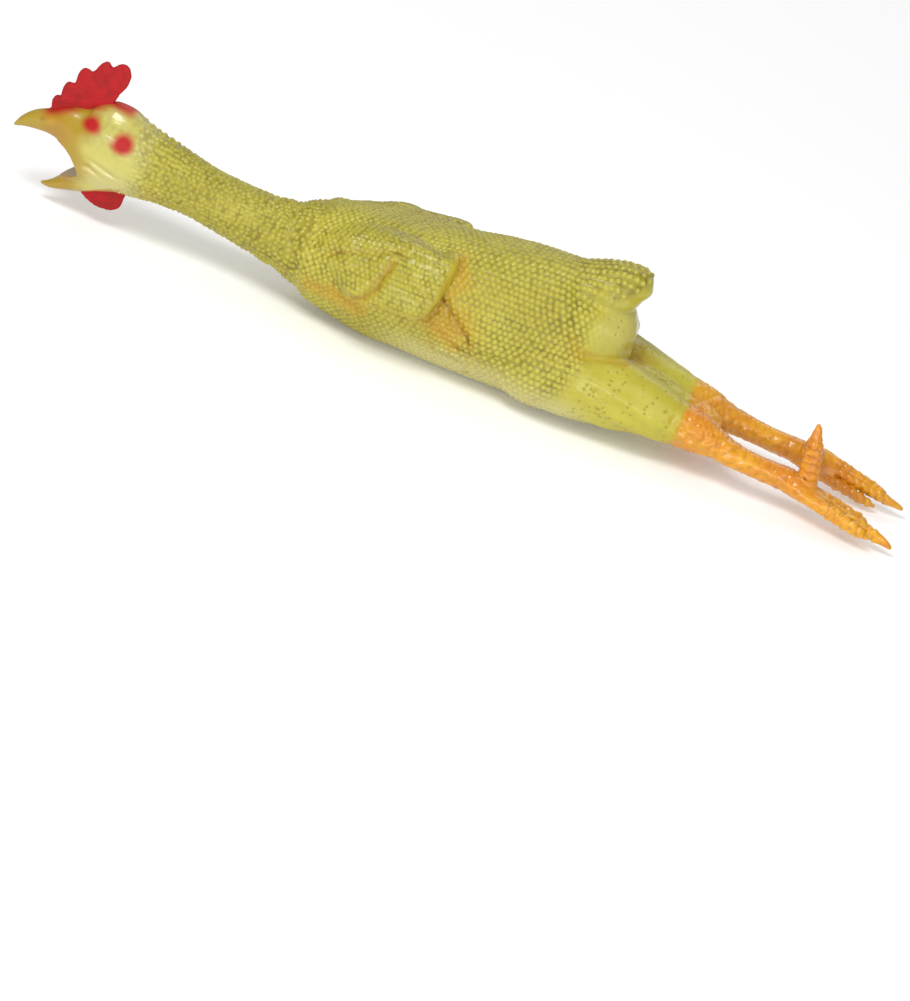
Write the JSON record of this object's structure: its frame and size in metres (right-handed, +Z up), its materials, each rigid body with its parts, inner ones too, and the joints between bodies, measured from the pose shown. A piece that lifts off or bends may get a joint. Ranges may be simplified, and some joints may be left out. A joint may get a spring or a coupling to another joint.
{
  "type": "rubber chicken",
  "caption": "Floppy hollow latex rubber chicken, plucked, lying on its belly with its neck and legs stretched out, that bends all along its length.",
  "frame": {"origin": "under the middle of the chicken, on the surface that its belly rests on", "axes": "+X from the beak to the toes, +Z up through the back, -Y the chicken's left side"},
  "size_m": [0.5604, 0.0904, 0.1038],
  "materials": {
    "latex_skin": "satin pale yellow-green latex with a fine pattern of plucked-feather bumps and a brown wash rubbed into the creases",
    "beak_paint": "mustard yellow paint on latex, satin",
    "red_paint": "matt bright red paint on latex",
    "leg_paint": "glossy orange paint on latex, darker in the scale lines"
  },
  "bodies": {
    "breast": {"breast": "latex_skin", "waist_fold": "latex_skin", "neck_fold_1": "latex_skin"},
    "neck_1": {"neck_1": "latex_skin", "neck_fold_2": "latex_skin"},
    "neck_2": {"neck_2": "latex_skin", "neck_fold_3": "latex_skin"},
    "neck_3": {"neck_3": "latex_skin", "neck_fold_4": "latex_skin"},
    "neck_4": {"neck_4": "latex_skin", "neck_fold_5": "latex_skin"},
    "head": {"head_skin": "latex_skin", "upper_beak": "beak_paint"},
    "jaw": {"lower_beak": "beak_paint"},
    "comb": {"comb": "red_paint"},
    "abdomen": {"abdomen": "latex_skin", "hip_fold": "latex_skin", "tail_fold": "latex_skin"},
    "tail": {"tail": "latex_skin"},
    "thighs": {"thigh_left": "latex_skin", "thigh_right": "latex_skin", "hock_fold_left": "leg_paint", "hock_fold_right": "leg_paint"},
    "wattle_left": {"wattle_left": "red_paint"},
    "wattle_right": {"wattle_right": "red_paint"},
    "wing_left": {"wing_left": "latex_skin"},
    "shank_left": {"shank_left": "leg_paint", "ankle_fold_left": "leg_paint"},
    "foot_left": {"foot_left": "leg_paint"},
    "toes_left": {"toe_inner_left": "leg_paint", "toe_middle_left": "leg_paint", "toe_outer_left": "leg_paint"},
    "back_toe_left": {"toe_back_left": "leg_paint"},
    "wing_right": {"wing_right": "latex_skin"},
    "shank_right": {"shank_right": "leg_paint", "ankle_fold_right": "leg_paint"},
    "foot_right": {"foot_right": "leg_paint"},
    "toes_right": {"toe_inner_right": "leg_paint", "toe_middle_right": "leg_paint", "toe_outer_right": "leg_paint"},
    "back_toe_right": {"toe_back_right": "leg_paint"}
  },
  "joints": [
    {"name": "neck_base_nod", "type": "hinge", "parent": "breast", "child": "neck_1", "pos_m": [-0.09989, 0, 0.037], "axis": [0, 1, 0], "range_deg": [-18, 18], "stiffness_Nm_per_rad": 2.5, "deforming": ["neck_fold_1"]},
    {"name": "neck_low_turn", "type": "hinge", "parent": "neck_1", "child": "neck_2", "pos_m": [-0.12174, 0, 0.0368], "axis": [0, 0, 1], "range_deg": [-20, 20], "stiffness_Nm_per_rad": 1.8, "deforming": ["neck_fold_2"]},
    {"name": "neck_middle_nod", "type": "hinge", "parent": "neck_2", "child": "neck_3", "pos_m": [-0.14264, 0, 0.0384], "axis": [0, 1, 0], "range_deg": [-22, 22], "stiffness_Nm_per_rad": 1.5, "deforming": ["neck_fold_3"]},
    {"name": "neck_high_turn", "type": "hinge", "parent": "neck_3", "child": "neck_4", "pos_m": [-0.16354, 0, 0.0412], "axis": [0, 0, 1], "range_deg": [-22, 22], "stiffness_Nm_per_rad": 1.2, "deforming": ["neck_fold_4"]},
    {"name": "head_nod", "type": "hinge", "parent": "neck_4", "child": "head", "pos_m": [-0.18539, 0, 0.0439], "axis": [0, 1, 0], "range_deg": [-20, 20], "stiffness_Nm_per_rad": 1, "deforming": ["neck_fold_5"]},
    {"name": "jaw_flex", "type": "hinge", "parent": "head", "child": "jaw", "pos_m": [-0.23314, 0, 0.017], "axis": [0, 1, 0], "range_deg": [-10, 10], "stiffness_Nm_per_rad": 0.03},
    {"name": "comb_flop", "type": "hinge", "parent": "head", "child": "comb", "pos_m": [-0.24504, 0, 0.066], "axis": [0.891, 0, 0.454], "range_deg": [-15, 15], "stiffness_Nm_per_rad": 0.04},
    {"name": "wattle_swing_left", "type": "hinge", "parent": "head", "child": "wattle_left", "pos_m": [-0.21804, -0.005, 0.0235], "axis": [-1, 0, 0], "range_deg": [-14, 30], "stiffness_Nm_per_rad": 0.006},
    {"name": "wattle_swing_right", "type": "hinge", "parent": "head", "child": "wattle_right", "pos_m": [-0.21804, 0.005, 0.0235], "axis": [1, 0, 0], "range_deg": [-14, 30], "stiffness_Nm_per_rad": 0.006},
    {"name": "waist_turn", "type": "hinge", "parent": "breast", "child": "abdomen", "pos_m": [0.01351, 0, 0.042], "axis": [0, 0, 1], "range_deg": [-12, 12], "stiffness_Nm_per_rad": 4, "deforming": ["waist_fold"]},
    {"name": "hip_fold", "type": "hinge", "parent": "abdomen", "child": "thighs", "pos_m": [0.08587, 0, 0.028], "axis": [0, 1, 0], "range_deg": [-20, 20], "stiffness_Nm_per_rad": 3, "deforming": ["hip_fold"]},
    {"name": "tail_flex", "type": "hinge", "parent": "abdomen", "child": "tail", "pos_m": [0.07967, 0, 0.09045], "axis": [0, 1, 0], "range_deg": [-18, 18], "stiffness_Nm_per_rad": 0.08, "deforming": ["tail_fold"]},
    {"name": "wing_spread_left", "type": "hinge", "parent": "breast", "child": "wing_left", "pos_m": [-0.088, -0.02594, 0.04686], "axis": [0, -0.4067, -0.9135], "range_deg": [0, 25], "stiffness_Nm_per_rad": 0.4},
    {"name": "hock_bend_left", "type": "hinge", "parent": "thighs", "child": "shank_left", "pos_m": [0.17046, -0.0202, 0.022], "axis": [0, 1, 0], "range_deg": [-36, 36], "stiffness_Nm_per_rad": 0.35, "deforming": ["hock_fold_left"]},
    {"name": "ankle_bend_left", "type": "hinge", "parent": "shank_left", "child": "foot_left", "pos_m": [0.20796, -0.0216, 0.0187], "axis": [0, 1, 0], "range_deg": [-30, 30], "stiffness_Nm_per_rad": 0.18, "deforming": ["ankle_fold_left"]},
    {"name": "toes_bend_left", "type": "hinge", "parent": "foot_left", "child": "toes_left", "pos_m": [0.23396, -0.02386, 0.0142], "axis": [0, 1, 0], "range_deg": [-20, 20], "stiffness_Nm_per_rad": 0.08},
    {"name": "back_toe_bend_left", "type": "hinge", "parent": "foot_left", "child": "back_toe_left", "pos_m": [0.22032, -0.02268, 0.02576], "axis": [0, 1, 0], "range_deg": [-12, 20], "stiffness_Nm_per_rad": 0.03},
    {"name": "wing_spread_right", "type": "hinge", "parent": "breast", "child": "wing_right", "pos_m": [-0.088, 0.02594, 0.04686], "axis": [0, -0.4067, 0.9135], "range_deg": [0, 25], "stiffness_Nm_per_rad": 0.4},
    {"name": "hock_bend_right", "type": "hinge", "parent": "thighs", "child": "shank_right", "pos_m": [0.17046, 0.0202, 0.022], "axis": [0, 1, 0], "range_deg": [-36, 36], "stiffness_Nm_per_rad": 0.35, "deforming": ["hock_fold_right"]},
    {"name": "ankle_bend_right", "type": "hinge", "parent": "shank_right", "child": "foot_right", "pos_m": [0.20796, 0.0216, 0.0187], "axis": [0, 1, 0], "range_deg": [-30, 30], "stiffness_Nm_per_rad": 0.18, "deforming": ["ankle_fold_right"]},
    {"name": "toes_bend_right", "type": "hinge", "parent": "foot_right", "child": "toes_right", "pos_m": [0.23396, 0.02386, 0.0142], "axis": [0, 0.6428, 0.766], "range_deg": [-20, 20], "stiffness_Nm_per_rad": 0.08},
    {"name": "back_toe_bend_right", "type": "hinge", "parent": "foot_right", "child": "back_toe_right", "pos_m": [0.22032, 0.01563, 0.02248], "axis": [0, 0.6428, 0.766], "range_deg": [-12, 20], "stiffness_Nm_per_rad": 0.03}
  ]
}
